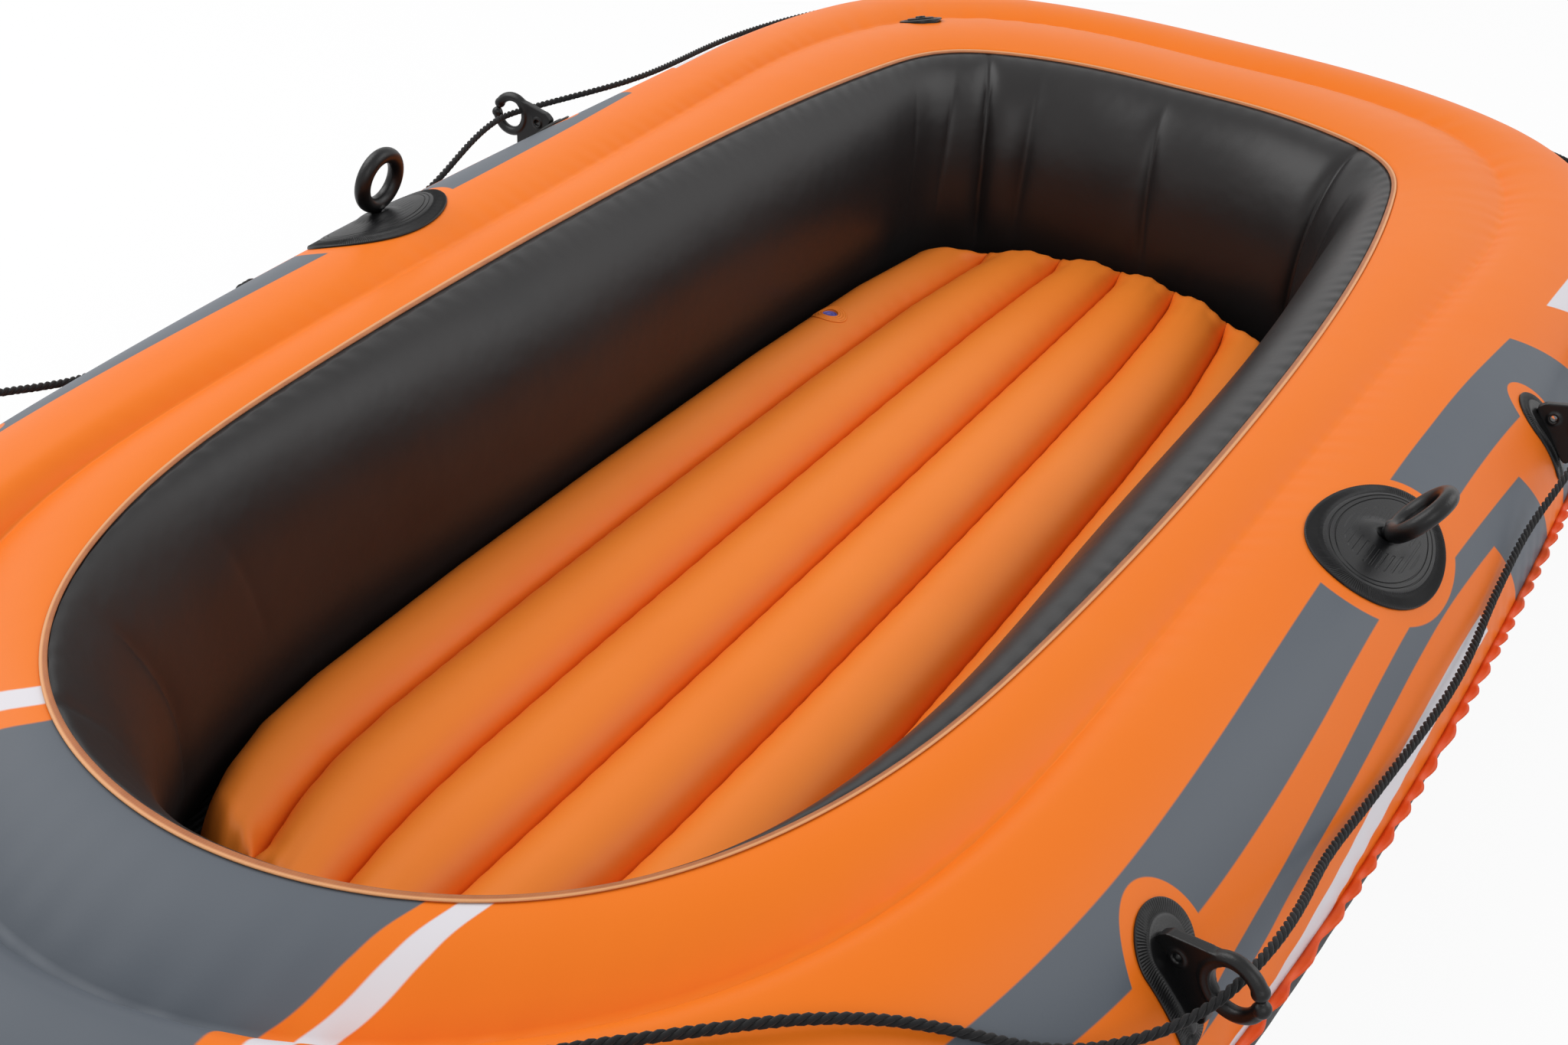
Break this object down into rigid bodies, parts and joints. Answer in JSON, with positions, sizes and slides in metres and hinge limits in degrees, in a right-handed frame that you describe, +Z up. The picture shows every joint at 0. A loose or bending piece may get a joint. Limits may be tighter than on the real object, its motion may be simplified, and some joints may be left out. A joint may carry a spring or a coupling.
{
  "type": "inflatable boat",
  "caption": "Inflatable boat with an outer and an inner tube, a channelled air floor, a grab rope, swivelling oar rings, oar clips and capped air valves.",
  "frame": {"origin": "on the ground under the middle of the boat's bounding box", "axes": "+X towards the bow, +Y to port, +Z up"},
  "size_m": [2.325, 1.1878, 0.3369],
  "materials": {
    "orange_vinyl": "glossy PVC sheet with printed stripes",
    "black_vinyl": "glossy black PVC sheet",
    "weld_band": "welded seam, brown where orange lies over black",
    "black_moulding": "satin moulded PVC",
    "rope": "braided cord",
    "blue_plug": "smooth moulded plastic"
  },
  "bodies": {
    "hull": {"top_sheet": "orange_vinyl", "bottom_sheet": "black_vinyl", "inner_wall": "black_vinyl", "chamber_divider": "black_vinyl", "rim_seam": "weld_band", "outer_seam": "orange_vinyl", "floor_mattress": "orange_vinyl", "oarlock_base_port": "black_moulding", "oarlock_base_starboard": "black_moulding", "oar_clip_port_fore": "black_moulding", "oar_clip_port_aft": "black_moulding", "oar_clip_starboard_fore": "black_moulding", "oar_clip_starboard_aft": "black_moulding", "rope_guide_bow": "black_moulding", "rope_guide_stern_port": "black_moulding", "rope_guide_stern_starboard": "black_moulding", "grab_rope": "rope", "rope_knot": "rope", "inner_tube_valve_seat": "black_moulding", "inner_tube_valve_flap": "black_vinyl", "outer_tube_valve_seat": "black_moulding", "outer_tube_valve_flap": "black_vinyl"},
    "oar_ring_port": {"oarlock_ring_port": "black_moulding"},
    "oar_ring_starboard": {"oarlock_ring_starboard": "black_moulding"},
    "inner_valve": {"inner_tube_valve_body": "black_moulding"},
    "inner_valve_cap": {"inner_tube_valve_cap": "black_moulding"},
    "outer_valve": {"outer_tube_valve_body": "black_moulding"},
    "outer_valve_cap": {"outer_tube_valve_cap": "black_moulding"},
    "floor_valve": {"floor_valve_stem": "blue_plug"},
    "floor_plug": {"floor_valve_plug": "blue_plug"}
  },
  "joints": [
    {"name": "oar_ring_port_tilt", "type": "hinge", "parent": "hull", "child": "oar_ring_port", "pos_m": [0.11561, 0.46828, 0.27744], "axis": [1, 0, 0], "range_deg": [-16, 56]},
    {"name": "oar_ring_starboard_tilt", "type": "hinge", "parent": "hull", "child": "oar_ring_starboard", "pos_m": [0.11561, -0.46828, 0.27744], "axis": [1, 0, 0], "range_deg": [-8, 64]},
    {"name": "inner_valve_unscrew", "type": "hinge", "parent": "hull", "child": "inner_valve", "pos_m": [-0.797, -0.337, 0.27905], "axis": [-0.133, -0.2839, 0.9496], "range_deg": [0, 360]},
    {"name": "inner_valve_cap_lift", "type": "hinge", "parent": "inner_valve", "child": "inner_valve_cap", "pos_m": [-0.81617, -0.34516, 0.2793], "axis": [0.3803, -0.8994, -0.2156], "range_deg": [0, 150]},
    {"name": "outer_valve_unscrew", "type": "hinge", "parent": "hull", "child": "outer_valve", "pos_m": [0.87, -0.345, 0.26409], "axis": [0.2137, -0.3971, 0.8926], "range_deg": [0, 360]},
    {"name": "outer_valve_cap_lift", "type": "hinge", "parent": "outer_valve", "child": "outer_valve_cap", "pos_m": [0.88951, -0.35201, 0.26202], "axis": [0.3505, 0.884, 0.3093], "range_deg": [0, 150]},
    {"name": "floor_valve_pull", "type": "slide", "parent": "hull", "child": "floor_valve", "axis": [0, 0, 1], "range_m": [0, 0.013]},
    {"name": "floor_plug_pull", "type": "slide", "parent": "floor_valve", "child": "floor_plug", "axis": [0, 0, 1], "range_m": [0, 0.011]}
  ]
}
